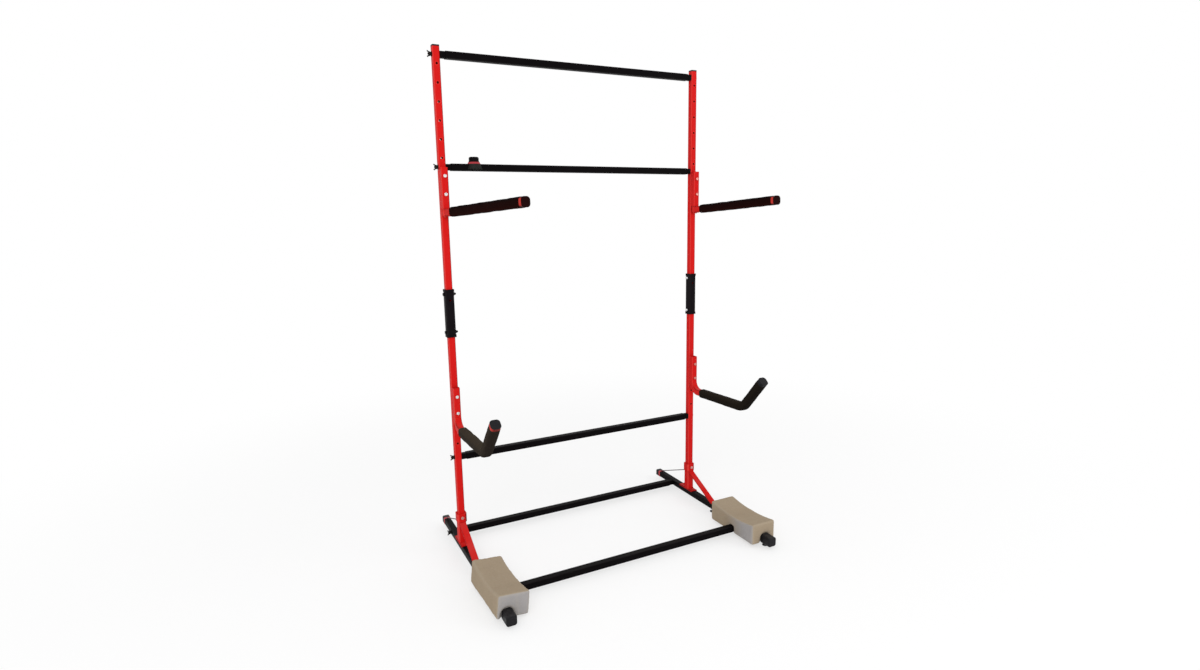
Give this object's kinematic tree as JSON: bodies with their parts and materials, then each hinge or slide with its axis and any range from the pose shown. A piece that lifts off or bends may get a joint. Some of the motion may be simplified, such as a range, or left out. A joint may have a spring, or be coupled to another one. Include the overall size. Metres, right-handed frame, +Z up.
{
  "type": "kayak stand",
  "caption": "Free-standing kayak stand: square-tube uprights on forked legs, crossbars, padded swinging arms, padded hooked arms and foam blocks.",
  "frame": {"origin": "on the floor, under the middle of the legs' length, midway between the uprights", "axes": "+X along the crossbars to the right, -Y to the front where the arms point, +Z up"},
  "size_m": [1.172, 0.839, 1.89],
  "materials": {
    "red_frame": "glossy red powder coat",
    "black_bar": "satin black powder coat",
    "black_sleeve": "satin black",
    "black_foam": "matt closed-cell foam",
    "tan_foam": "matt closed-cell foam",
    "steel_fastener": "bright zinc plate",
    "zinc_wing": "dull zinc plate",
    "black_plastic": "moulded black plastic",
    "foot_rubber": "matt rubber",
    "red_band": "red moulded ring",
    "grey_skirt": "dark grey moulded plastic"
  },
  "bodies": {
    "frame": {"upper_upright_left": "red_frame", "lower_upright_left": "red_frame", "base_socket_left": "red_frame", "socket_collar_left": "red_frame", "base_saddle_left": "red_frame", "base_brace_left": "red_frame", "upper_bracket_left": "red_frame", "hook_arm_left": "red_frame", "joint_sleeve_left": "black_sleeve", "base_leg_left": "black_bar", "foam_block_left": "tan_foam", "hook_arm_pad_left": "black_foam", "upper_upright_right": "red_frame", "lower_upright_right": "red_frame", "base_socket_right": "red_frame", "socket_collar_right": "red_frame", "base_saddle_right": "red_frame", "base_brace_right": "red_frame", "upper_bracket_right": "red_frame", "hook_arm_right": "red_frame", "joint_sleeve_right": "black_sleeve", "base_leg_right": "black_bar", "foam_block_right": "tan_foam", "hook_arm_pad_right": "black_foam", "top_bar": "black_bar", "second_bar": "black_bar", "lower_bar": "black_bar", "rear_base_bar": "black_bar", "front_base_bar": "black_bar", "leg_end_caps": "black_plastic", "leg_rings": "red_band", "stay_rods": "steel_fastener", "foot_pads": "foot_rubber", "foot_studs": "steel_fastener", "bar_end_plugs": "black_plastic", "bar_bolts": "steel_fastener", "bar_studs": "steel_fastener", "stud_washers": "steel_fastener", "frame_bolts": "steel_fastener", "arm_bolts": "steel_fastener", "lock_nuts": "steel_fastener", "upright_top_plugs": "black_plastic", "swivel_pins": "steel_fastener", "hook_arm_rings": "red_band", "hook_arm_caps": "black_plastic", "bar_stop_skirt": "grey_skirt", "bar_stop_band": "red_band", "bar_stop_cap": "black_plastic"},
    "upper_arm_left": {"upper_arm_tube_left": "red_frame", "upper_arm_pad_left": "black_foam", "upper_arm_ring_left": "red_band", "upper_arm_cap_left": "black_plastic"},
    "upper_arm_right": {"upper_arm_tube_right": "red_frame", "upper_arm_pad_right": "black_foam", "upper_arm_ring_right": "red_band", "upper_arm_cap_right": "black_plastic"},
    "wing_nut_on_top_bar": {"wing_nut_top_bar": "zinc_wing"},
    "wing_nut_on_second_bar": {"wing_nut_second_bar": "zinc_wing"},
    "wing_nut_on_lower_bar": {"wing_nut_lower_bar": "zinc_wing"},
    "wing_nut_on_rear_base_bar": {"wing_nut_rear_base_bar": "zinc_wing"}
  },
  "joints": [
    {"name": "upper_arm_left_swing", "type": "hinge", "parent": "frame", "child": "upper_arm_left", "pos_m": [-0.538, 0.1301, 1.334], "axis": [0, 0, 1], "range_deg": [-88, 62]},
    {"name": "upper_arm_right_swing", "type": "hinge", "parent": "frame", "child": "upper_arm_right", "pos_m": [0.538, 0.1301, 1.334], "axis": [0, 0, -1], "range_deg": [-75, 75]},
    {"name": "wing_nut_top_bar_turn", "type": "hinge", "parent": "frame", "child": "wing_nut_on_top_bar", "pos_m": [-0.5557, 0.1555, 1.86], "axis": [-1, 0, 0], "continuous": true},
    {"name": "wing_nut_second_bar_turn", "type": "hinge", "parent": "frame", "child": "wing_nut_on_second_bar", "pos_m": [-0.5557, 0.1555, 1.48], "axis": [-1, 0, 0], "continuous": true},
    {"name": "wing_nut_lower_bar_turn", "type": "hinge", "parent": "frame", "child": "wing_nut_on_lower_bar", "pos_m": [-0.5557, 0.1555, 0.395], "axis": [-1, 0, 0], "continuous": true},
    {"name": "wing_nut_rear_base_bar_turn", "type": "hinge", "parent": "frame", "child": "wing_nut_on_rear_base_bar", "pos_m": [-0.5557, 0.2795, 0.03], "axis": [-1, 0, 0], "continuous": true}
  ]
}
